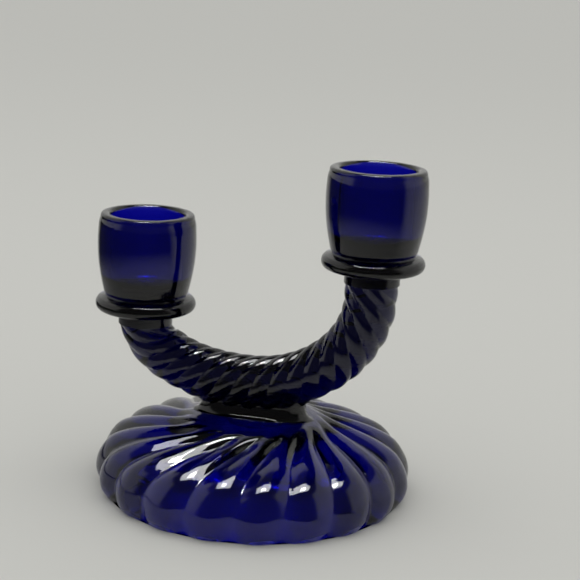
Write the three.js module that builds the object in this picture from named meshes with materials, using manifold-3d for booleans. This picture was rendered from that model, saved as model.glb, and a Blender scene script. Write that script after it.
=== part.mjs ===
// Two-light pressed-glass candlestick: a swirled, domed foot carries a short web, the web carries
// a rope-twisted crescent arm, and each end of the arm carries a neck, a drip ring and a candle cup.
// Millimetres, +Z up. The origin is on the table midway between the two cups, and +X points along
// the arm toward the taller cup. Neighbouring features stop JOINT_GAP short of each other.
import * as THREE from "three";
import { mergeVertices } from "three/addons/utils/BufferGeometryUtils.js";
import Module from "manifold-3d";

const JOINT_GAP = 0.3;

// Foot: a scalloped dome with a hollow underside that stands on a flat ring.
const FOOT_X = 1.4;
const FOOT_RADIUS = 49.9;
const FOOT_TOP = 24;
const SEAT_RADIUS = 19;
const RING_OUTER_RADIUS = 47.6;
const RING_INNER_RADIUS = 45.3;
const HOLLOW_TOP = 20.4;
const EQUATOR_HEIGHT = 6.4;
const LOBES = 20;
const LOBE_DEPTH = 1.8;
const LOBE_STEPS = 4;
const LOBE_PHASE = THREE.MathUtils.degToRad(8);
const LOBE_START_RADIUS = 28;
const LOBE_RISE = { from: -3, to: 4 };
const LOBE_TURN_UP = { from: 3, to: 16 };
const LOBE_INWARD_LOSS = 0.6;
const LOBE_DOWNWARD = 0.8;
const SWIRL_EVEN = THREE.MathUtils.degToRad(22);
const SWIRL_TIGHT = THREE.MathUtils.degToRad(132);
const SWIRL_POWER = 4;
const DOME_STEPS = 12;
const HOLLOW_STEPS = 12;

// Arm: a rope of glass strands on two curves and a short riser.
const LEFT_X = -36;
const RIGHT_X = 36;
const LEFT_NECK_Z = 49.7;
const RIGHT_NECK_Z = 70;
const ARM_LOW_X = -1.6;
const ARM_LOW_Z = 34.2;
const LEFT_LEAN = THREE.MathUtils.degToRad(15);
const LEFT_LEVELLING = 10;
const LEFT_REACH = 9.4;
const LOW_REACH_LEFT = 19.5;
const LOW_REACH_RIGHT = 20.8;
const RIGHT_REACH = 17;
const ARM_RADIUS = 8.2;
const RISER = 4.4;
const STRANDS = 6;
const STRAND_DEPTH = 0.6;
const STRAND_STEPS = 6;
const FIRST_PITCH = 5.1;
const PITCH_GROWTH = 0.0121;
const FIRST_VALLEY = 1.05;
const SLANT = 0.33;
const SLANT_START = 0.13;
const SLANT_FULL = { from: 25, to: 58 };
const SLANT_NONE = 76;
const SLANT_TURNED = 92;
const SLANT_ROUNDS = 8;
const ARM_ROWS = 84;

// Web: a stadium-shaped waist between the seat of the foot and the underside of the arm.
const WEB_X = 0.6;
const WEB_HALF_LENGTH = 16.8;
const WEB_HALF_WIDTH = 5.2;
const WEB_FILLET = 4.4;
const WEB_END_SHARE = 0.6;
const WEB_ROWS = 8;
const WEB_STEPS = 40;
const WEB_SAG = 1.6;
const SAG_RISE = { from: 20, to: 32 };
const SAG_FALL = { from: 52, to: 62 };
const SAG_IN_VALLEY = 0.4;
const BED_STEPS = 32;
const BED_ROWS = 60;

// Cup unit, measured up from the top of the arm.
const NECK_RADIUS = 8.55;
const NECK_HEIGHT = 2.7;
const RING_RADIUS = 15.85;
const RING_HEIGHT = 5.7;
const RING_UNDERSIDE = 10.6;
const RING_EDGE = { width: 1.9, height: 2.1, middle: 3.1, sweep: 80 };
const RING_SHOULDER = 0.2;
const CUP_HEIGHT = 26;
const CUP_FOOT_RADIUS = 13.4;
const CUP_FOOT_BEVEL = { inward: 0.8, height: 1.2 };
const CUP_BELLY_RADIUS = 15.45;
const CUP_RIM_RADIUS = 14.7;
const LIP_RADIUS = 1.4;
const LIP_INNER_RADIUS = 1.2;
const SOCKET_MOUTH_RADIUS = 11.5;
const SOCKET_FLOOR_RADIUS = 10.9;
const SOCKET_DEPTH = 22;
const SOCKET_CORNER = 1;
const ROUND_STEPS = 32;

const wasm = await Module();
wasm.setup();

const glass = () => new THREE.MeshStandardMaterial({ color: 0x14106b, roughness: 0.05, metalness: 0 });

// Polar point of a profile, as three.js lathes want it.
const at = (radius, height) => new THREE.Vector2(radius, height);

// Points of an ellipse quarter between two angles, given in degrees.
function arc(centre, radii, from, to, steps) {
  return Array.from({ length: steps + 1 }, (_, i) => {
    const angle = THREE.MathUtils.degToRad(from + ((to - from) * i) / steps);
    return at(centre.x + radii.x * Math.cos(angle), centre.y + radii.y * Math.sin(angle));
  });
}

// A lathe whose profile runs up the outside, so that its faces point out, turned from Y up to Z up.
function lathe(profile, steps) {
  return new THREE.LatheGeometry(profile, steps).rotateX(Math.PI / 2);
}

// Height of a strand or lobe over its width: 1 on the crest, 0 in the sharp valley.
const crest = (turns) => Math.abs(Math.sin(Math.PI * turns));

function foot() {
  const dome = new THREE.SplineCurve([
    at(RING_OUTER_RADIUS, 0),
    at(49.4, 2.8),
    at(FOOT_RADIUS, EQUATOR_HEIGHT),
    at(48.7, 10.6),
    at(45.2, 15.3),
    at(39, 18.4),
    at(32, 20.3),
    at(25, 21.8),
    at(SEAT_RADIUS, FOOT_TOP),
  ]).getPoints(DOME_STEPS);
  const hollow = new THREE.SplineCurve([
    at(0, HOLLOW_TOP),
    at(14, 19.8),
    at(25, 18.3),
    at(32, 17),
    at(39, 14.9),
    at(43.3, 11.8),
    at(45, 8),
    at(RING_INNER_RADIUS, 4),
    at(RING_INNER_RADIUS, 0),
  ]).getPoints(HOLLOW_STEPS);
  const geometry = lathe([...hollow, ...dome, at(0, FOOT_TOP)], LOBES * LOBE_STEPS);
  scallop(geometry);
  return geometry.rotateZ(LOBE_PHASE).translate(FOOT_X, 0, 0);
}

// Turn of the valleys about the foot's axis: gentle on the wall, tighter toward the seat, and the
// other way below the equator.
function swirl(radius, height) {
  const inward = 1 - radius / FOOT_RADIUS;
  if (height < EQUATOR_HEIGHT) return -SWIRL_EVEN * inward;
  return SWIRL_EVEN * inward + SWIRL_TIGHT * Math.max(0, inward) ** SWIRL_POWER;
}

// Presses the lobes into the dome: each point moves inward by its place across its lobe, and round
// by the swirl, so that the valleys run along rows of edges. Flat seat and hollow stay as turned.
function scallop(geometry) {
  const point = new THREE.Vector3();
  const position = geometry.attributes.position;
  const rows = HOLLOW_STEPS + DOME_STEPS + 3;
  for (let i = 0; i < position.count; i++) {
    point.fromBufferAttribute(position, i);
    const row = i % rows;
    if (row <= HOLLOW_STEPS || row === rows - 1) continue;
    const column = Math.floor(i / rows);
    const radius = Math.hypot(point.x, point.y);
    const inner = THREE.MathUtils.smoothstep(radius, SEAT_RADIUS, LOBE_START_RADIUS);
    const lower = THREE.MathUtils.smoothstep(point.z, LOBE_RISE.from, LOBE_RISE.to);
    const press = LOBE_DEPTH * inner * lower * (1 - crest(column / LOBE_STEPS));
    const upward = THREE.MathUtils.smoothstep(point.z, LOBE_TURN_UP.from, LOBE_TURN_UP.to);
    const angle = Math.atan2(point.y, point.x) + swirl(radius, point.z);
    const pressed = radius - press * (1 - LOBE_INWARD_LOSS * upward);
    const height = point.z - LOBE_DOWNWARD * press * upward;
    position.setXYZ(i, pressed * Math.cos(angle), pressed * Math.sin(angle), height);
  }
}

// Centre line of the arm from the left neck, through its lowest point, up to the right neck.
function armPath() {
  const point = (x, z) => new THREE.Vector3(x, 0, z);
  const path = new THREE.CurvePath();
  const low = point(ARM_LOW_X, ARM_LOW_Z);
  const riserFoot = point(RIGHT_X, RIGHT_NECK_Z - RISER);
  const leftTop = point(LEFT_X, LEFT_NECK_Z);
  const leftHeading = point(Math.sin(LEFT_LEAN), -Math.cos(LEFT_LEAN));
  path.add(
    new THREE.CubicBezierCurve3(
      leftTop,
      leftTop.clone().addScaledVector(leftHeading, LEFT_REACH),
      point(ARM_LOW_X - LOW_REACH_LEFT, ARM_LOW_Z),
      low,
    ),
  );
  path.add(
    new THREE.CubicBezierCurve3(
      low,
      point(ARM_LOW_X + LOW_REACH_RIGHT, ARM_LOW_Z),
      point(RIGHT_X, RIGHT_NECK_Z - RISER - RIGHT_REACH),
      riserFoot,
    ),
  );
  path.add(new THREE.LineCurve3(riserFoot, point(RIGHT_X, RIGHT_NECK_Z)));
  return path;
}

// A capped tube around the arm's centre line. angleAt turns a column's angle into its place round
// the section, which counts from the inner side of the bend through the front to the outer side,
// and radiusAt gives the radius there.
function tube(columns, rows, angleAt, radiusAt) {
  const path = armPath();
  const length = path.getLength();
  const geometry = new THREE.CylinderGeometry(1, 1, 1, columns, rows);
  const position = geometry.attributes.position;
  const across = new THREE.Vector3(0, 1, 0);
  const down = new THREE.Vector3(0, 0, -1);
  for (let i = 0; i < position.count; i++) {
    const share = THREE.MathUtils.clamp(position.getY(i) + 0.5, 0, 1);
    const distance = share * length;
    const centre = path.getPointAt(share);
    const level = Math.max(0, 1 - distance / LEFT_LEVELLING);
    const outward = path.getTangentAt(share).lerp(down, level).normalize().cross(across);
    const column = Math.atan2(position.getX(i), position.getZ(i));
    const angle = angleAt(distance, column);
    const radius = Math.hypot(position.getX(i), position.getZ(i)) * radiusAt(distance, column, angle);
    centre.addScaledVector(outward, radius * Math.cos(angle));
    centre.addScaledVector(across, -radius * Math.sin(angle));
    position.setXYZ(i, centre.x, centre.y, centre.z);
  }
  return geometry;
}

// How far the underside of the arm sags where the web carries it.
function sag(distance, angle) {
  const rise = THREE.MathUtils.smoothstep(distance, SAG_RISE.from, SAG_RISE.to);
  const fall = 1 - THREE.MathUtils.smoothstep(distance, SAG_FALL.from, SAG_FALL.to);
  return WEB_SAG * rise * fall * Math.max(0, -Math.cos(angle)) ** 2;
}

// How strongly the strands slant on the front and back of the arm: most along its low stretch,
// and the other way at the foot of the riser.
function slant(distance) {
  const { lerp, inverseLerp, clamp } = THREE.MathUtils;
  const share = (from, to) => clamp(inverseLerp(from, to, distance), 0, 1);
  const start = lerp(SLANT_START, SLANT, share(0, SLANT_FULL.from));
  const gone = lerp(start, 0, share(SLANT_FULL.to, SLANT_NONE));
  return gone - SLANT * share(SLANT_NONE, SLANT_TURNED);
}

// Place round the section of a column that follows its strand: the pitch of the strands grows from
// left to right, and Newton's rounds undo the slant.
function strandAngle(distance, column) {
  const travelled = Math.log(1 + (PITCH_GROWTH / FIRST_PITCH) * distance) / PITCH_GROWTH - FIRST_VALLEY;
  const even = column - (2 * Math.PI * travelled) / STRANDS + Math.PI / 2;
  const bend = slant(distance) / 2;
  let angle = even;
  for (let round = 0; round < SLANT_ROUNDS; round++) {
    const error = angle + bend * Math.sin(2 * angle) - even;
    angle -= error / (1 + 2 * bend * Math.cos(2 * angle));
  }
  return angle;
}

function strandRadius(distance, column, angle) {
  const height = crest((column * STRANDS) / (2 * Math.PI));
  const sagShare = SAG_IN_VALLEY + (1 - SAG_IN_VALLEY) * height;
  return ARM_RADIUS - STRAND_DEPTH * (1 - height) + sag(distance, angle) * sagShare;
}

function arm() {
  return tube(STRANDS * STRAND_STEPS, ARM_ROWS, strandAngle, strandRadius);
}

// The web rises into the arm as a stadium with a rounded foot, and the arm's own bed is then cut
// out of it. Rows crowd toward the foot.
function web() {
  const bottom = FOOT_TOP + JOINT_GAP;
  const top = ARM_LOW_Z;
  const stadium = new THREE.CylinderGeometry(1, 1, 1, WEB_STEPS, WEB_ROWS).rotateX(Math.PI / 2);
  const position = stadium.attributes.position;
  const straight = WEB_HALF_LENGTH - WEB_HALF_WIDTH;
  for (let i = 0; i < position.count; i++) {
    const share = Math.max(0, position.getZ(i) + 0.5);
    const height = share ** 1.5 * (top - bottom);
    const below = THREE.MathUtils.clamp(1 - height / WEB_FILLET, 0, 1);
    const flare = WEB_FILLET * (1 - Math.sqrt(1 - below ** 2));
    const x = position.getX(i);
    const y = position.getY(i);
    const end = WEB_X + straight * Math.sign(Math.round(x * 1e6));
    const endReach = (WEB_HALF_WIDTH + WEB_END_SHARE * flare) * x;
    position.setXYZ(i, end + endReach, (WEB_HALF_WIDTH + flare) * y, bottom + height);
  }
  const bedRadius = (distance, column, angle) => ARM_RADIUS + JOINT_GAP + sag(distance, angle);
  const bed = tube(BED_STEPS, BED_ROWS, (distance, column) => column, bedRadius);
  return fromSolid(toSolid(stadium).subtract(toSolid(bed)));
}

function neck() {
  const wall = [at(NECK_RADIUS, 0), at(NECK_RADIUS, NECK_HEIGHT)];
  return lathe([at(0, 0), ...wall, at(0, NECK_HEIGHT)], ROUND_STEPS);
}

// A collar with a rounded edge: its underside is bevelled and its top runs in to the cup.
function dripRing() {
  const { width, height, middle, sweep } = RING_EDGE;
  const edge = arc(at(RING_RADIUS - width, middle), at(width, height), -sweep, sweep, 5);
  const top = [at(CUP_FOOT_RADIUS + RING_SHOULDER, RING_HEIGHT), at(0, RING_HEIGHT)];
  return lathe([at(0, 0), at(RING_UNDERSIDE, 0), ...edge, ...top], ROUND_STEPS);
}

// Barrel-shaped cup with a rounded lip and a plain socket that narrows a little toward its floor.
function candleCup() {
  const lipHeight = CUP_HEIGHT - LIP_RADIUS;
  const barrel = new THREE.SplineCurve([
    at(CUP_FOOT_RADIUS, CUP_FOOT_BEVEL.height),
    at(14.5, 6.5),
    at(15.2, 11.5),
    at(CUP_BELLY_RADIUS, 17),
    at(15.2, 22.5),
    at(CUP_RIM_RADIUS, lipHeight),
  ]).getPoints(8);
  const lipOut = arc(at(CUP_RIM_RADIUS - LIP_RADIUS, lipHeight), at(LIP_RADIUS, LIP_RADIUS), 30, 90, 2);
  const lipCentre = at(SOCKET_MOUTH_RADIUS + LIP_INNER_RADIUS, lipHeight);
  const lipIn = arc(lipCentre, at(LIP_INNER_RADIUS, LIP_RADIUS), 90, 180, 3);
  const floor = CUP_HEIGHT - SOCKET_DEPTH;
  return lathe(
    [
      at(0, 0),
      at(CUP_FOOT_RADIUS - CUP_FOOT_BEVEL.inward, 0),
      ...barrel,
      ...lipOut,
      ...lipIn,
      at(SOCKET_FLOOR_RADIUS, floor + SOCKET_CORNER),
      at(SOCKET_FLOOR_RADIUS - SOCKET_CORNER, floor),
      at(0, floor),
    ],
    ROUND_STEPS,
  );
}

function toSolid(geometry) {
  const plain = geometry.clone();
  plain.deleteAttribute("normal");
  plain.deleteAttribute("uv");
  const welded = mergeVertices(plain, 1e-4);
  const mesh = new wasm.Mesh({
    numProp: 3,
    vertProperties: welded.attributes.position.array,
    triVerts: new Uint32Array(welded.index.array),
  });
  return new wasm.Manifold(mesh);
}

function fromSolid(solid) {
  const mesh = solid.getMesh();
  const geometry = new THREE.BufferGeometry();
  geometry.setAttribute("position", new THREE.BufferAttribute(mesh.vertProperties, mesh.numProp));
  geometry.setIndex(new THREE.BufferAttribute(mesh.triVerts, 1));
  geometry.computeVertexNormals();
  return geometry;
}

function feature(name, geometry) {
  const mesh = new THREE.Mesh(geometry, glass());
  mesh.name = name;
  return mesh;
}

// Neck, drip ring and candle cup, one above the other on one end of the arm.
function cupUnit(side, x, neckZ) {
  const unit = new THREE.Group();
  unit.position.set(x, 0, neckZ);
  let height = JOINT_GAP;
  for (const [name, geometry, rise] of [
    ["neck_", neck(), NECK_HEIGHT],
    ["drip_ring_", dripRing(), RING_HEIGHT],
    ["candle_cup_", candleCup(), CUP_HEIGHT],
  ]) {
    const mesh = feature(name + side, geometry);
    mesh.position.z = height;
    unit.add(mesh);
    height += rise + JOINT_GAP;
  }
  return unit;
}

const candlestick = new THREE.Group();
candlestick.add(feature("foot", foot()));
candlestick.add(feature("web", web()));
candlestick.add(feature("arm", arm()));
candlestick.add(cupUnit("left", LEFT_X, LEFT_NECK_Z));
candlestick.add(cupUnit("right", RIGHT_X, RIGHT_NECK_Z));

export default candlestick;
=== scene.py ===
"""Looks of the two-light pressed-glass candlestick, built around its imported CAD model.

Each CAD feature gets one closed, fine mesh of cobalt glass in the same place: foot, web, arm,
necks, drip rings and candle cups. The real thing is a single pressing, so neighbouring pieces run
a little into each other, and the faces buried inside a neighbour let light straight through.
Sizes are in millimetres in the shape functions and become metres when a mesh is made. The stage,
the lights and the camera are in metres.
"""

import math

import bpy
import numpy as np
from mathutils import Matrix, Vector
from mathutils.bvhtree import BVHTree

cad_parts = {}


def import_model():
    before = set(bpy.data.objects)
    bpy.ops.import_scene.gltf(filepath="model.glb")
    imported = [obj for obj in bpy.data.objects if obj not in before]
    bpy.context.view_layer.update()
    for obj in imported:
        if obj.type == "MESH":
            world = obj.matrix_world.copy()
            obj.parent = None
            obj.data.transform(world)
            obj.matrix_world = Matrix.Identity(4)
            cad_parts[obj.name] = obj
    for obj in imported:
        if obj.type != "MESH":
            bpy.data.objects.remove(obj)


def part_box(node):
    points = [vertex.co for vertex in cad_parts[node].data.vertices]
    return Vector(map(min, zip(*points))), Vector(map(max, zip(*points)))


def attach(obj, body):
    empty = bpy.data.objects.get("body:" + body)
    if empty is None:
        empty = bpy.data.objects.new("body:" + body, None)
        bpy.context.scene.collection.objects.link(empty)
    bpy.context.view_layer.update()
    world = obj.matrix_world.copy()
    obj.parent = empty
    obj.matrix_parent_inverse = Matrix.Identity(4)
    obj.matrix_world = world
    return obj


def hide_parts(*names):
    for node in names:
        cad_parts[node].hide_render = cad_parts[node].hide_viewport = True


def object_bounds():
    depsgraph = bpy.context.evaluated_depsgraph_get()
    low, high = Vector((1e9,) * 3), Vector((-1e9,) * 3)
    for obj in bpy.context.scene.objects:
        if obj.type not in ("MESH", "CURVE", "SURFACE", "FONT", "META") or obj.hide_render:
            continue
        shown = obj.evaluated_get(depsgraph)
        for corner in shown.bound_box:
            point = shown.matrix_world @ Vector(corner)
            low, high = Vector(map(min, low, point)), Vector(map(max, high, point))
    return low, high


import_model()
cad_low, cad_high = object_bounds()

MM = 0.001

# The CAD features stop GAP short of each other; the pieces here run OVERLAP into each other.
GAP = 0.3
OVERLAP = 0.45
# Edges bent by more than this are shaded as creases.
SHARP_ANGLE = math.radians(38)
# Outline points closer than this count as one.
SAME_POINT = 1e-4
# Radius of the smallest row of corners round the middle of a flat end.
POLE_RADIUS = 0.5

# Foot
RING_INNER_RADIUS = 45.3
RING_OUTER_RADIUS = 47.6
SEAT_RADIUS = 9.0
LOBES = 20
LOBE_DEPTH = 2.1
LOBE_PHASE = math.radians(8)
LOBE_COLUMNS = 18
VALLEY_ROUNDING = 0.05
# How strongly the columns of corners crowd toward the valleys: 0 is even, 1 is the most.
CROWDING = 0.55
# Radii between which the lobes sink from full depth to nothing, toward the seat.
LOBES_END, LOBES_FULL = 19.0, 28.0
# Heights between which a valley gains its depth; at the table, height 0, it has about two thirds.
PRESS_LOW, PRESS_FULL = -6.0, 4.0
# Heights between which the press turns from inward to mostly downward, and its shares on top.
TURN_LOW, TURN_HIGH = 3.0, 16.0
LESS_INWARD = 0.6
DOWNWARD = 0.66
# Turn of the valleys, in degrees: an even part, and a part that tightens toward the seat.
SWIRL_EVEN = 22
SWIRL_TIGHT = 132
SWIRL_POWER = 4
# Height at which the foot is widest.
WIDEST_HEIGHT = 6.4

# Arm
ARM_RADIUS = 8.2
ARM_LOW_X = -1.6
ARM_LOW_Z = 34.2
ARM_ROWS = 320
# Lean of the arm's left end, and the straight upright length at its right end.
LEFT_LEAN = math.radians(15)
RISER = 4.4
# Lengths of the curve handles at the left end, on both sides of the low point and at the riser.
LEFT_HANDLE = 9.4
LOW_LEFT_HANDLE = 19.5
LOW_RIGHT_HANDLE = 20.8
RISER_HANDLE = 17.0
# Length over which the sections at the left end turn from level to square across the arm.
LEVELLING = 10.0
STRANDS = 6
STRAND_DEPTH = 0.6
STRAND_COLUMNS = 24
# Length of arm per strand at the left end, its growth per millimetre, and where the strands start.
FIRST_PITCH = 5.1
PITCH_GROWTH = 0.0121
FIRST_VALLEY = 1.05
# Extra slant of the strands across the arm, negative for less, at distances along the arm.
SLANT_PLACES = (0, 25, 58, 76, 92)
SLANTS = (0.13, 0.33, 0.33, 0.0, -0.33)
SLANT_ROUNDS = 8
# Sag of the underside over the web, where it sets in and dies out, and its share in a valley.
WEB_SAG = 1.6
SAG_BEGINS = (20, 32)
SAG_ENDS = (52, 62)
SAG_IN_VALLEY = 0.4

# Web
WEB_HALF_LENGTH = 16.8
WEB_HALF_WIDTH = 5.2
WEB_SHIFT = -0.8
# How far the web runs down into the foot, and how far short of the arm's middle line it ends.
WEB_SINK = 1.0
WEB_FILLET = 4.4
# How far below the seat the fillet starts, and the share of it that lengthens the web's ends.
FILLET_DROP = 0.3
FILLET_END_SHARE = 0.6
# How square the ends of the stadium outline are.
STADIUM_FULLNESS = 4
WEB_ROWS = 56
WEB_COLUMNS = 240

# Necks, drip rings and candle cups
ROUND_COLUMNS = 144
NECK_RADIUS = 8.55
NECK_HEIGHT = 2.7
RING_RADIUS = 15.85
RING_HEIGHT = 5.7
RING_UNDERSIDE_RADIUS = 10.6
RING_EDGE_RADII = (1.9, 2.1)
RING_EDGE_HEIGHT = 3.1
RING_SHOULDER_RADIUS = 13.0
RING_TOP_RADIUS = 12.7
CUP_HEIGHT = 26.0
CUP_BASE_RADIUS = 12.6
CUP_FOOT_RADIUS = 13.4
CUP_FOOT_HEIGHT = 1.2
CUP_RIM_RADIUS = 14.7
LIP_RADIUS = 1.4
LIP_INNER_WIDTH = 1.2
SOCKET_MOUTH_RADIUS = 11.5
SOCKET_FLOOR_RADIUS = 10.9
SOCKET_DEPTH = 22.0
SOCKET_CORNER = 3.6
# Faint upright ripples: waves round the piece, their shift, and the radii where they fade in.
RIPPLES = (3, 7, 11, 17, 23, 31, 41)
RIPPLE_SHIFT = 1.7
RIPPLE_NONE, RIPPLE_FULL = 9, 12
RING_RIPPLE = 0.02
CUP_RIPPLE = 0.05

# Glass; the lengths here are in metres
GLASS_IOR = 1.5
GLASS_SPECULAR = 0.25
ABSORPTION = (0.02, 0.02, 0.82, 1)
ABSORPTION_DENSITY = 1400.0
TINT_SCALE = 60.0
TINT_RANGE = (0.3, 0.7)
DENSE_TINT = (0.78, 0.80, 0.90, 1)
THIN_TINT = (0.92, 0.93, 0.97, 1)
MARK_SCALE = 220.0
MARK_RANGE = (0.35, 0.75)
POLISH_RANGE = (0.01, 0.05)
CHILL_SCALE = 170.0
CHILL_STRENGTH = 0.15
CHILL_DEPTH = 0.0002

# Floor and black card
FLOOR_SIZE = 16.0
FLOOR_DROP = 0.0002
FLOOR_COLOUR = (0.637, 0.637, 0.60, 1)
CARD_SIZE = 15.8
CARD_LIFT = 0.001
CARD_COLOUR = (0.05, 0.05, 0.052, 1)
CARD_AZIMUTH = -25.0
# The card fades in over this range of distances, and round to the sides over this one of facing.
CARD_REACH = (0.08, 0.32)
CARD_SIDES = (-0.35, -0.05)

# Numbers of a colour Mix node's two colour inputs and of its colour output
MIX_FIRST, MIX_SECOND, MIX_RESULT = 6, 7, 2

# Room, as the reflections in the glass see it: dark in front and overhead, pale elsewhere
FRONT_AZIMUTH = 12.0
FRONT_EDGE = (0.32, 0.60)
OVERHEAD_EDGE = (0.76, 0.86)
PALE_ROOM = (0.66, 0.66, 0.64, 1)
DARK_ROOM = (0.08, 0.08, 0.085, 1)
EVEN_LIGHT = (0.78, 0.78, 0.78, 1)
BACKDROP = (0.52, 0.52, 0.50, 1)
LAMP_TURN = math.radians(13)

# Camera
CAMERA_PLACE = (0.10845, -0.4237, 0.175)
CAMERA_AZIMUTH = math.radians(13)
CAMERA_PITCH = math.radians(14.2)
CAMERA_ROLL = math.radians(2.8)
CAMERA_LENS = 90.28
CAMERA_SENSOR = 36


# ---------------------------------------------------------------- outlines and meshes
def box_mm(name):
    low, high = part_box(name)
    return np.array(low) / MM, np.array(high) / MM


def spline(points, steps):
    """Catmull-Rom curve through the points, with the ends held, at steps + 1 even parameters."""
    p = np.array(points, float)
    last = len(p) - 1
    at = np.linspace(0, last, steps + 1)
    i = np.minimum(at.astype(int), last - 1)
    w = (at - i)[:, None]
    p0, p1 = p[np.maximum(i - 1, 0)], p[i]
    p2, p3 = p[i + 1], p[np.minimum(i + 2, last)]
    v0, v1 = (p2 - p0) / 2, (p3 - p1) / 2
    cubic = (2 * p1 - 2 * p2 + v0 + v1) * w**3
    square = (3 * p2 - 3 * p1 - 2 * v0 - v1) * w**2
    return cubic + square + v0 * w + p1


def bezier(a, b, c, d, steps):
    t = np.linspace(0, 1, steps + 1)[:, None]
    a, b, c, d = (np.array(p, float) for p in (a, b, c, d))
    return (1 - t) ** 3 * a + 3 * (1 - t) ** 2 * t * b + 3 * (1 - t) * t**2 * c + t**3 * d


def arc(centre, radii, start, end, steps):
    """Points of an ellipse between two angles in degrees."""
    angle = np.radians(np.linspace(start, end, steps + 1))
    return np.stack([centre[0] + radii[0] * np.cos(angle), centre[1] + radii[1] * np.sin(angle)], 1)


def line(start, end, steps):
    return np.linspace(start, end, steps + 1)


def chain(*runs):
    """Joins runs of outline points and drops points that repeat."""
    points = np.concatenate([np.atleast_2d(r) for r in runs])
    keep = np.r_[True, np.linalg.norm(np.diff(points, axis=0), axis=1) > SAME_POINT]
    return points[keep]


def smoothstep(x, low, high):
    t = np.clip((x - low) / (high - low), 0, 1)
    return t * t * (3 - 2 * t)


def crest(turns):
    """Height over a row of lobes: 1 on each crest and 0 in the narrow, rounded valleys."""
    wave = np.sqrt(np.sin(np.pi * turns) ** 2 + VALLEY_ROUNDING**2)
    return (wave - VALLEY_ROUNDING) / (math.sqrt(1 + VALLEY_ROUNDING**2) - VALLEY_ROUNDING)


def crowded(count, columns):
    """Turns, from 0 to count, of columns that crowd toward each valley."""
    s = np.arange(count * columns) / columns
    return s - CROWDING * np.sin(2 * np.pi * s) / (2 * np.pi)


def volume(mesh):
    """Volume inside a closed mesh, negative where its faces look inward."""
    mesh.calc_loop_triangles()
    tris = np.zeros(len(mesh.loop_triangles) * 3, np.int32)
    mesh.loop_triangles.foreach_get("vertices", tris)
    co = np.zeros(len(mesh.vertices) * 3, np.float32)
    mesh.vertices.foreach_get("co", co)
    a, b, c = co.reshape(-1, 3)[tris.reshape(-1, 3)].transpose(1, 0, 2).astype(float)
    return float((a * np.cross(b, c)).sum() / 6)


def solid(name, rings, first, last):
    """A closed mesh from rings of points, an array (rings, columns, 3), with a pole at each end."""
    count, columns = rings.shape[:2]
    points = np.concatenate([rings.reshape(-1, 3), [first, last]]) * MM
    faces = []
    for r in range(count - 1):
        a, b = r * columns, (r + 1) * columns
        for c in range(columns):
            d = (c + 1) % columns
            faces.append((a + c, a + d, b + d, b + c))
    first_pole, last_pole, top = count * columns, count * columns + 1, (count - 1) * columns
    for c in range(columns):
        d = (c + 1) % columns
        faces.append((first_pole, d, c))
        faces.append((last_pole, top + c, top + d))
    mesh = bpy.data.meshes.new(name)
    mesh.from_pydata(points.tolist(), [], faces)
    mesh.validate()
    if volume(mesh) < 0:
        mesh.flip_normals()
    mesh.shade_smooth()
    mesh.set_sharp_from_angle(angle=SHARP_ANGLE)
    piece = bpy.data.objects.new(name, mesh)
    bpy.context.scene.collection.objects.link(piece)
    return piece


def turned(name, outline, x, z, ripple=0.0, seed=0.0):
    """A lathed piece whose axis stands at x, with faint upright ripples on its walls."""
    angle = np.linspace(0, 2 * np.pi, ROUND_COLUMNS, endpoint=False)
    waves = sum(np.sin(n * angle + RIPPLE_SHIFT * n * seed + seed) / n for n in RIPPLES)
    first, last = outline[0], outline[-1]
    body = outline[1:-1]
    fade = smoothstep(body[:, 0], RIPPLE_NONE, RIPPLE_FULL)[:, None]
    radius = body[:, 0][:, None] + ripple * waves[None, :] * fade
    height = z + np.repeat(body[:, 1][:, None], ROUND_COLUMNS, 1)
    rings = np.stack([x + radius * np.cos(angle), radius * np.sin(angle), height], 2)
    return solid(name, rings, (x, 0, z + first[1]), (x, 0, z + last[1]))


# ---------------------------------------------------------------- foot
foot_low, foot_high = box_mm("foot")
FOOT_X = (foot_low[0] + foot_high[0]) / 2
FOOT_RADIUS = (foot_high[0] - foot_low[0]) / 2
FOOT_TOP = foot_high[2]


def swirl(radius, height):
    """Turn of the valleys about the foot's axis: gentle on the wall, tighter near the seat."""
    inward = (1 - radius / FOOT_RADIUS) * np.where(height < WIDEST_HEIGHT, -1, 1)
    return np.radians(SWIRL_EVEN * inward + SWIRL_TIGHT * np.maximum(inward, 0) ** SWIRL_POWER)


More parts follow.
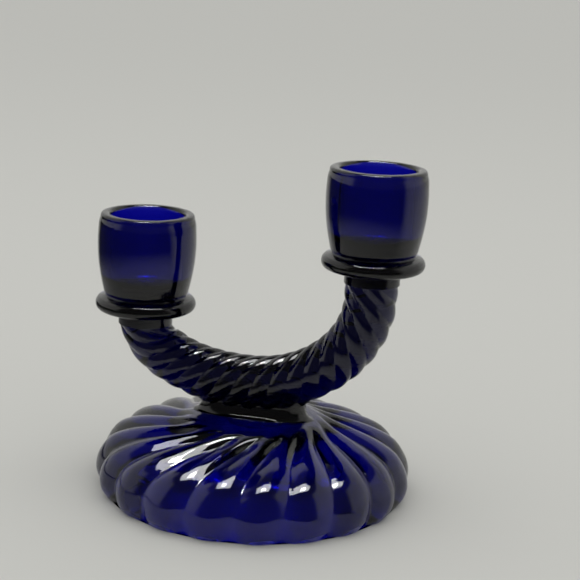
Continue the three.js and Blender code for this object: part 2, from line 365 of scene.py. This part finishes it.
def foot():
    hollow = spline(
        [
            (0, 20.4), (14, 19.8), (25, 18.3), (32, 17), (39, 14.9),
            (43.3, 11.8), (45, 8), (RING_INNER_RADIUS, 4), (RING_INNER_RADIUS, 0),
        ],
        steps=64,
    )
    ring = line((RING_INNER_RADIUS, 0), (RING_OUTER_RADIUS, 0), steps=4)
    dome = spline(
        [
            (RING_OUTER_RADIUS, 0), (49.4, 2.8), (49.9, WIDEST_HEIGHT), (48.7, 10.6), (45.2, 15.3),
            (39, 18.4), (32, 20.3), (25.5, 21.7), (20, 23.3), (14.5, 23.93), (SEAT_RADIUS, FOOT_TOP),
        ],
        steps=110,
    )
    seat = line((SEAT_RADIUS, FOOT_TOP), (0, FOOT_TOP), steps=12)
    outline = chain(hollow, ring, dome, seat)
    first, last = outline[0], outline[-1]
    body = outline[1:-1]
    turns = crowded(LOBES, LOBE_COLUMNS)
    radius, height = (np.repeat(body[:, k][:, None], len(turns), 1) for k in (0, 1))
    # true from the ring's outer corner on, where the dome starts; body lacks the first point
    on_dome = (np.arange(len(body)) >= len(chain(hollow, ring)) - 2)[:, None]
    fade = smoothstep(radius, LOBES_END, LOBES_FULL) * on_dome
    press = LOBE_DEPTH * fade * (1 - crest(turns)) * smoothstep(height, PRESS_LOW, PRESS_FULL)
    upward = smoothstep(height, TURN_LOW, TURN_HIGH)
    angle = 2 * np.pi * turns / LOBES + swirl(radius, height) * on_dome + LOBE_PHASE
    radius = radius - press * (1 - LESS_INWARD * upward)
    height = height - DOWNWARD * press * upward
    rings = np.stack([FOOT_X + radius * np.cos(angle), radius * np.sin(angle), height], 2)
    return solid("foot_glass", rings, (FOOT_X, 0, first[1]), (FOOT_X, 0, last[1]))


# ---------------------------------------------------------------- arm
neck_left_low, neck_left_high = box_mm("neck_left")
neck_right_low, neck_right_high = box_mm("neck_right")
LEFT_X = (neck_left_low[0] + neck_left_high[0]) / 2
RIGHT_X = (neck_right_low[0] + neck_right_high[0]) / 2
ARM_LEFT_Z = neck_left_low[2] - GAP
ARM_RIGHT_Z = neck_right_low[2] - GAP


def arm_path():
    """The arm's middle line, as close-set (x, z) points from the left neck to the right one."""
    left_end = (LEFT_X, ARM_LEFT_Z)
    low = (ARM_LOW_X, ARM_LOW_Z)
    riser_foot = (RIGHT_X, ARM_RIGHT_Z - RISER)
    from_left = (
        LEFT_X + LEFT_HANDLE * math.sin(LEFT_LEAN),
        ARM_LEFT_Z - LEFT_HANDLE * math.cos(LEFT_LEAN),
    )
    into_low = (ARM_LOW_X - LOW_LEFT_HANDLE, ARM_LOW_Z)
    out_of_low = (ARM_LOW_X + LOW_RIGHT_HANDLE, ARM_LOW_Z)
    into_riser = (RIGHT_X, ARM_RIGHT_Z - RISER - RISER_HANDLE)
    return chain(
        bezier(left_end, from_left, into_low, low, steps=400),
        bezier(low, out_of_low, into_riser, riser_foot, steps=400),
        line(riser_foot, (RIGHT_X, ARM_RIGHT_Z), steps=20),
    )


def strand_angle(distance, turns):
    """Angle round the arm, from its top, of each column of corners at each distance along it."""
    pitches = np.log(1 + PITCH_GROWTH / FIRST_PITCH * distance) / PITCH_GROWTH - FIRST_VALLEY
    even = 2 * np.pi * (turns[None, :] - pitches[:, None]) / STRANDS + np.pi / 2
    bend = np.interp(distance, SLANT_PLACES, SLANTS)[:, None] / 2
    # Newton's method for the angle that satisfies angle + bend * sin(2 * angle) = even
    angle = even.copy()
    for _ in range(SLANT_ROUNDS):
        error = angle + bend * np.sin(2 * angle) - even
        angle -= error / (1 + 2 * bend * np.cos(2 * angle))
    return angle


def arm():
    path = arm_path()
    travel = np.r_[0, np.cumsum(np.linalg.norm(np.diff(path, axis=0), axis=1))]
    distance = np.linspace(0, travel[-1], ARM_ROWS)
    x = np.interp(distance, travel, path[:, 0])
    z = np.interp(distance, travel, path[:, 1])
    step = np.gradient(np.stack([x, z], 1), distance, axis=0)
    # the first sections are levelled, so that they meet the upright neck squarely
    level = np.clip(1 - distance / LEVELLING, 0, 1)[:, None]
    tangent = step / np.linalg.norm(step, axis=1)[:, None] * (1 - level) + np.array([0, -1.0]) * level
    tangent /= np.linalg.norm(tangent, axis=1)[:, None]
    outward = np.stack([-tangent[:, 1], tangent[:, 0]], 1)
    turns = crowded(STRANDS, STRAND_COLUMNS)
    angle = strand_angle(distance, turns)
    height = crest(turns)
    radius = ARM_RADIUS - STRAND_DEPTH * (1 - height)
    # over the web the underside sags, and the strands end in tips against it
    sag = (smoothstep(distance, *SAG_BEGINS) * (1 - smoothstep(distance, *SAG_ENDS)))[:, None]
    below = np.clip(-np.cos(angle), 0, 1) ** 2
    share = SAG_IN_VALLEY + (1 - SAG_IN_VALLEY) * height
    r = radius[None, :] + WEB_SAG * sag * below * share[None, :]
    rings = np.stack(
        [
            x[:, None] + outward[:, 0][:, None] * r * np.cos(angle),
            -r * np.sin(angle),
            z[:, None] + outward[:, 1][:, None] * r * np.cos(angle),
        ],
        2,
    )
    # both ends run on into the necks
    run_on = GAP + OVERLAP
    start, end = rings[:1].copy(), rings[-1:].copy()
    start[..., 2] += run_on
    end[..., 2] += run_on
    rings = np.concatenate([start, rings, end])
    poles = (LEFT_X, 0, ARM_LEFT_Z + run_on), (RIGHT_X, 0, ARM_RIGHT_Z + run_on)
    return solid("arm_glass", rings, *poles)


# ---------------------------------------------------------------- web
def fillet(height, size):
    """How far a rounded inner corner of that size still reaches out at a height above its foot."""
    reach = np.clip(1 - height / size, 0, 1)
    return size * (1 - np.sqrt(np.clip(1 - reach**2, 0, 1)))


def web():
    """The waist: a stadium in outline, which widens to an ellipse where it meets the foot."""
    middle = FOOT_X + WEB_SHIFT
    bottom, top = FOOT_TOP - WEB_SINK, ARM_LOW_Z - WEB_SINK
    angle = np.linspace(0, 2 * np.pi, WEB_COLUMNS, endpoint=False)
    c, s = np.cos(angle), np.sin(angle)
    straight = WEB_HALF_LENGTH - WEB_HALF_WIDTH
    stadium = np.clip(c * STADIUM_FULLNESS, -1, 1) * straight + WEB_HALF_WIDTH * c
    ellipse = (WEB_HALF_LENGTH + FILLET_END_SHARE * WEB_FILLET) * c
    rings = []
    for z in np.linspace(bottom, top, WEB_ROWS):
        flare = fillet(max(z - FOOT_TOP + FILLET_DROP, 0), WEB_FILLET)
        spread = flare / WEB_FILLET
        along = (1 - spread) * stadium + spread * ellipse
        across = (WEB_HALF_WIDTH + flare) * s
        rings.append(np.stack([middle + along, across, np.full_like(c, z)], 1))
    return solid("web_glass", np.array(rings), (middle, 0, bottom), (middle, 0, top))


# ---------------------------------------------------------------- necks, drip rings and cups
def neck(side, x, z):
    low, high = -OVERLAP, NECK_HEIGHT + GAP + OVERLAP
    wall = line((NECK_RADIUS, low), (NECK_RADIUS, high), steps=16)
    return turned("neck_" + side + "_glass", chain((0, low), wall, (0, high)), x, z)


def drip_ring(side, x, z):
    top = RING_HEIGHT + GAP + OVERLAP
    edge_centre = (RING_RADIUS - RING_EDGE_RADII[0], RING_EDGE_HEIGHT)
    edge = arc(edge_centre, RING_EDGE_RADII, -80, 80, steps=28)
    outline = chain(
        (0, 0),
        line((POLE_RADIUS, 0), (RING_UNDERSIDE_RADIUS, 0), steps=24),
        line((RING_UNDERSIDE_RADIUS, 0), edge[0], steps=8),
        edge,
        line(edge[-1], (RING_SHOULDER_RADIUS, RING_HEIGHT), steps=6),
        line((RING_TOP_RADIUS, top), (POLE_RADIUS, top), steps=12),
        (0, top),
    )
    return turned("drip_ring_" + side + "_glass", outline, x, z, RING_RIPPLE, 4.0)


def candle_cup(side, x, z):
    base = -GAP
    lip_height = CUP_HEIGHT - LIP_RADIUS
    barrel = spline(
        [
            (CUP_FOOT_RADIUS, CUP_FOOT_HEIGHT), (14.5, 6.5), (15.2, 11.5),
            (15.45, 17), (15.2, 22.5), (CUP_RIM_RADIUS, lip_height),
        ],
        steps=60,
    )
    # the outer edge of the lip is crisper than the inner one
    lip_out = spline(
        [
            (CUP_RIM_RADIUS, lip_height), (14.66, 25.25), (14.35, 25.75),
            (13.7, 25.96), (13.0, CUP_HEIGHT),
        ],
        steps=16,
    )
    lip_centre = (SOCKET_MOUTH_RADIUS + LIP_INNER_WIDTH, lip_height)
    lip_in = arc(lip_centre, (LIP_INNER_WIDTH, LIP_RADIUS), 90, 180, steps=12)
    socket_floor = CUP_HEIGHT - SOCKET_DEPTH
    corner_centre = (SOCKET_FLOOR_RADIUS - SOCKET_CORNER, socket_floor + SOCKET_CORNER)
    corner = arc(corner_centre, (SOCKET_CORNER, SOCKET_CORNER), 0, -90, steps=12)
    outline = chain(
        (0, base),
        line((POLE_RADIUS, base), (CUP_BASE_RADIUS, base), steps=12),
        line((CUP_BASE_RADIUS, base), (CUP_FOOT_RADIUS, CUP_FOOT_HEIGHT), steps=6),
        barrel,
        lip_out,
        lip_in,
        line(lip_in[-1], corner[0], steps=30),
        corner,
        line(corner[-1], (POLE_RADIUS, socket_floor), steps=10),
        (0, socket_floor),
    )
    seed = 1.0 if side == "left" else 3.0
    return turned("candle_cup_" + side + "_glass", outline, x, z, CUP_RIPPLE, seed)


# ---------------------------------------------------------------- glass
def node(tree, kind, **settings):
    """A new shader node; each setting goes to the input of that name, or else to the property."""
    made = tree.nodes.new(kind)
    for key, value in settings.items():
        if key in made.inputs:
            made.inputs[key].default_value = value
        else:
            setattr(made, key, value)
    return made


def empty_material(name):
    """A new material with nothing in its tree but an output."""
    material = bpy.data.materials.new(name)
    material.use_nodes = True
    tree = material.node_tree
    tree.nodes.clear()
    return material, tree, node(tree, "ShaderNodeOutputMaterial")


def absorb(tree, output):
    """The glass's own colour, which deepens with the way that light goes through it."""
    medium = node(tree, "ShaderNodeVolumeAbsorption", Color=ABSORPTION, Density=ABSORPTION_DENSITY)
    tree.links.new(medium.outputs["Volume"], output.inputs["Volume"])


def cobalt_glass():
    material, tree, output = empty_material("cobalt_glass")
    link = tree.links.new
    shader = node(tree, "ShaderNodeBsdfPrincipled")
    shader.inputs["Transmission Weight"].default_value = 1.0
    shader.inputs["IOR"].default_value = GLASS_IOR
    shader.inputs["Specular IOR Level"].default_value = GLASS_SPECULAR
    place = node(tree, "ShaderNodeTexCoord")
    # faint streaks of denser and thinner colour
    tint = node(tree, "ShaderNodeTexNoise", Scale=TINT_SCALE, Detail=3.0)
    ramp = node(tree, "ShaderNodeValToRGB")
    for stop, position, colour in zip(ramp.color_ramp.elements, TINT_RANGE, (DENSE_TINT, THIN_TINT)):
        stop.position = position
        stop.color = colour
    # handling marks: slightly less polished patches
    marks = node(tree, "ShaderNodeTexNoise", Scale=MARK_SCALE, Detail=4.0)
    polish = node(tree, "ShaderNodeMapRange")
    polish.inputs["From Min"].default_value = MARK_RANGE[0]
    polish.inputs["From Max"].default_value = MARK_RANGE[1]
    polish.inputs["To Min"].default_value = POLISH_RANGE[0]
    polish.inputs["To Max"].default_value = POLISH_RANGE[1]
    # mould chill: a soft, shallow ripple
    chill = node(tree, "ShaderNodeTexNoise", Scale=CHILL_SCALE, Detail=1.5)
    bump = node(tree, "ShaderNodeBump", Strength=CHILL_STRENGTH, Distance=CHILL_DEPTH)
    for texture in (tint, marks, chill):
        link(place.outputs["Object"], texture.inputs["Vector"])
    link(tint.outputs["Fac"], ramp.inputs["Fac"])
    link(ramp.outputs["Color"], shader.inputs["Base Color"])
    link(marks.outputs["Fac"], polish.inputs["Value"])
    link(polish.outputs["Result"], shader.inputs["Roughness"])
    link(chill.outputs["Fac"], bump.inputs["Height"])
    link(bump.outputs["Normal"], shader.inputs["Normal"])
    link(shader.outputs["BSDF"], output.inputs["Surface"])
    absorb(tree, output)
    return material


def fused_glass():
    """For faces buried in a neighbouring piece: no surface there, only the glass."""
    material, tree, output = empty_material("cobalt_glass_fused")
    clear = node(tree, "ShaderNodeBsdfTransparent")
    tree.links.new(clear.outputs["BSDF"], output.inputs["Surface"])
    absorb(tree, output)
    return material


# An odd direction, so that a ray hardly ever runs along an edge, and a step past each wall it meets.
RAY_AIM = Vector((0.113, 0.217, 0.969)).normalized()
RAY_STEP = 1e-6


def inside_of(points, tree):
    """Which points lie inside a closed mesh, by counting the walls that a ray from each meets."""
    found = np.zeros(len(points), bool)
    for k, p in enumerate(points):
        origin, crossings = Vector(p), 0
        while True:
            hit = tree.ray_cast(origin, RAY_AIM)
            if hit[0] is None:
                break
            crossings += 1
            origin = hit[0] + RAY_AIM * RAY_STEP
        found[k] = crossings % 2 == 1
    return found


def mark_fused(pieces):
    """Gives slot 1 to each face whose corners all lie inside one neighbouring piece."""
    data = []
    for piece in pieces:
        mesh = piece.data
        co = np.zeros(len(mesh.vertices) * 3, np.float32)
        mesh.vertices.foreach_get("co", co)
        co = co.reshape(-1, 3).astype(float)
        faces = [tuple(p.vertices) for p in mesh.polygons]
        tree = BVHTree.FromPolygons(co.tolist(), faces)
        data.append((piece, co, faces, tree, co.min(0), co.max(0)))
    for piece, co, faces, _, low, high in data:
        index = np.zeros(len(faces), np.int32)
        for other, _, _, tree, other_low, other_high in data:
            if other is piece or (low > other_high).any() or (high < other_low).any():
                continue
            near = ((co >= other_low) & (co <= other_high)).all(1)
            if not near.any():
                continue
            inside = np.zeros(len(co), bool)
            where = np.nonzero(near)[0]
            inside[where] = inside_of(co[where], tree)
            for k, face in enumerate(faces):
                if inside[list(face)].all():
                    index[k] = 1
        piece.data.polygons.foreach_set("material_index", index)
        piece.data.update()


# ---------------------------------------------------------------- build
pieces = {
    "foot": foot(),
    "web": web(),
    "arm": arm(),
}
for side, x in (("left", LEFT_X), ("right", RIGHT_X)):
    for kind, build in (("neck_", neck), ("drip_ring_", drip_ring), ("candle_cup_", candle_cup)):
        pieces[kind + side] = build(side, x, box_mm(kind + side)[0][2])
mark_fused(list(pieces.values()))
glass, fused = cobalt_glass(), fused_glass()
for name, piece in pieces.items():
    piece.data.materials.append(glass)
    piece.data.materials.append(fused)
    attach(piece, "root")
    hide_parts(name)


# ---------------------------------------------------------------- stage
def plane(name, size, z, material):
    mesh = bpy.data.meshes.new(name)
    h = size / 2
    mesh.from_pydata([(-h, -h, 0), (h, -h, 0), (h, h, 0), (-h, h, 0)], [], [(0, 1, 2, 3)])
    made = bpy.data.objects.new(name, mesh)
    bpy.context.scene.collection.objects.link(made)
    made.data.materials.append(material)
    made.location.z = z
    return made


def floor():
    material = bpy.data.materials.new("pale_floor")
    material.use_nodes = True
    shader = material.node_tree.nodes["Principled BSDF"]
    shader.inputs["Base Color"].default_value = FLOOR_COLOUR
    shader.inputs["Roughness"].default_value = 0.9
    shader.inputs["Specular IOR Level"].default_value = 0.1
    plane("floor", FLOOR_SIZE, cad_low[2] - FLOOR_DROP, material)


def facing(tree, place, azimuth):
    """Cosine of the angle, seen from above, between a place and an azimuth counted from -Y to +X."""
    flat = node(tree, "ShaderNodeVectorMath", operation="MULTIPLY")
    flat.inputs[1].default_value = (1, 1, 0)
    tree.links.new(place, flat.inputs[0])
    unit = node(tree, "ShaderNodeVectorMath", operation="NORMALIZE")
    tree.links.new(flat.outputs["Vector"], unit.inputs[0])
    product = node(tree, "ShaderNodeVectorMath", operation="DOT_PRODUCT")
    a = math.radians(azimuth)
    product.inputs[1].default_value = (math.sin(a), -math.cos(a), 0)
    tree.links.new(unit.outputs["Vector"], product.inputs[0])
    return product.outputs["Value"]


def ease(tree, value, low, high):
    """0 below low, 1 above high, with a soft run between."""
    made = node(tree, "ShaderNodeMapRange", interpolation_type="SMOOTHSTEP")
    made.inputs["From Min"].default_value = low
    made.inputs["From Max"].default_value = high
    tree.links.new(value, made.inputs["Value"])
    return made.outputs["Result"]


def mixed(tree, share, first, second):
    """A shader that goes from the first to the second as share goes from 0 to 1."""
    mix = node(tree, "ShaderNodeMixShader")
    for socket, source in zip(mix.inputs, (share, first.outputs[0], second.outputs[0])):
        tree.links.new(source, socket)
    return mix


def black_card():
    """A soft-edged black card lying in front, seen only in the glass's own reflections."""
    material, tree, output = empty_material("black_card")
    place = node(tree, "ShaderNodeTexCoord").outputs["Object"]
    reach = node(tree, "ShaderNodeVectorMath", operation="LENGTH")
    tree.links.new(place, reach.inputs[0])
    dark = node(tree, "ShaderNodeMath", operation="MULTIPLY")
    tree.links.new(ease(tree, reach.outputs["Value"], *CARD_REACH), dark.inputs[0])
    tree.links.new(ease(tree, facing(tree, place, CARD_AZIMUTH), *CARD_SIDES), dark.inputs[1])
    clear = node(tree, "ShaderNodeBsdfTransparent")
    black = node(tree, "ShaderNodeBsdfDiffuse", Color=CARD_COLOUR)
    mix = mixed(tree, dark.outputs[0], clear, black)
    tree.links.new(mix.outputs[0], output.inputs["Surface"])
    card = plane("black_card", CARD_SIZE, cad_low[2] + CARD_LIFT, material)
    card.visible_camera = False
    card.visible_diffuse = False
    card.visible_transmission = False
    card.visible_shadow = False


def world():
    """The backdrop for the camera, the room for reflections, and an even pale light for the rest."""
    made = bpy.data.worlds.new("studio")
    bpy.context.scene.world = made
    made.use_nodes = True
    tree = made.node_tree
    tree.nodes.clear()
    link = tree.links.new
    output = node(tree, "ShaderNodeOutputWorld")
    direction = node(tree, "ShaderNodeTexCoord").outputs["Generated"]
    split = node(tree, "ShaderNodeSeparateXYZ")
    link(direction, split.inputs["Vector"])
    shade = node(tree, "ShaderNodeMath", operation="MAXIMUM")
    link(ease(tree, facing(tree, direction, FRONT_AZIMUTH), *FRONT_EDGE), shade.inputs[0])
    link(ease(tree, split.outputs["Z"], *OVERHEAD_EDGE), shade.inputs[1])
    room_colour = node(tree, "ShaderNodeMix", data_type="RGBA")
    room_colour.inputs[MIX_FIRST].default_value = PALE_ROOM
    room_colour.inputs[MIX_SECOND].default_value = DARK_ROOM
    link(shade.outputs[0], room_colour.inputs[0])
    room = node(tree, "ShaderNodeBackground")
    link(room_colour.outputs[MIX_RESULT], room.inputs["Color"])
    even = node(tree, "ShaderNodeBackground", Color=EVEN_LIGHT)
    backdrop = node(tree, "ShaderNodeBackground", Color=BACKDROP)
    ray = node(tree, "ShaderNodeLightPath")
    lighting = mixed(tree, ray.outputs["Is Glossy Ray"], even, room)
    choice = mixed(tree, ray.outputs["Is Camera Ray"], lighting, backdrop)
    link(choice.outputs[0], output.inputs["Surface"])


def lamp(name, centre, size, energy, reflected):
    """An overhead area lamp: either seen in and through the glass only, or lighting the floor only."""
    data = bpy.data.lights.new(name, "AREA")
    data.shape = "RECTANGLE"
    data.size, data.size_y = size
    data.energy = energy
    made = bpy.data.objects.new(name, data)
    bpy.context.scene.collection.objects.link(made)
    made.location = centre
    made.rotation_euler = (0, 0, LAMP_TURN)
    made.visible_camera = False
    made.visible_diffuse = not reflected
    made.visible_glossy = reflected
    made.visible_transmission = reflected


floor()
black_card()
world()
lamp("top_panel", centre=(-0.02, 0.10, 0.95), size=(1.15, 0.55), energy=1.2, reflected=False)
lamp("top_glow", centre=(-0.03, 0.03, 0.93), size=(0.54, 0.38), energy=6.0, reflected=True)
lamp("lamp_glow", centre=(-0.02, 0.00, 0.91), size=(0.16, 0.12), energy=3.0, reflected=True)


# ---------------------------------------------------------------- camera
def camera():
    data = bpy.data.cameras.new("camera")
    data.lens = CAMERA_LENS
    data.sensor_width = CAMERA_SENSOR
    data.clip_start, data.clip_end = 0.01, 50
    made = bpy.data.objects.new("camera", data)
    bpy.context.scene.collection.objects.link(made)
    forward = Vector(
        (
            -math.sin(CAMERA_AZIMUTH) * math.cos(CAMERA_PITCH),
            math.cos(CAMERA_AZIMUTH) * math.cos(CAMERA_PITCH),
            -math.sin(CAMERA_PITCH),
        )
    )
    level = Vector((math.cos(CAMERA_AZIMUTH), math.sin(CAMERA_AZIMUTH), 0))
    upright = level.cross(forward)
    right = level * math.cos(CAMERA_ROLL) + upright * math.sin(CAMERA_ROLL)
    up = upright * math.cos(CAMERA_ROLL) - level * math.sin(CAMERA_ROLL)
    turn = Matrix((right, up, -forward)).transposed()
    made.matrix_world = Matrix.Translation(CAMERA_PLACE) @ turn.to_4x4()
    bpy.context.scene.camera = made


camera()

scene = bpy.context.scene
scene.view_settings.view_transform = "Standard"
scene.cycles.max_bounces = 24
scene.cycles.transmission_bounces = 24
scene.cycles.glossy_bounces = 12
scene.cycles.transparent_max_bounces = 24
scene.cycles.sample_clamp_indirect = 6.0
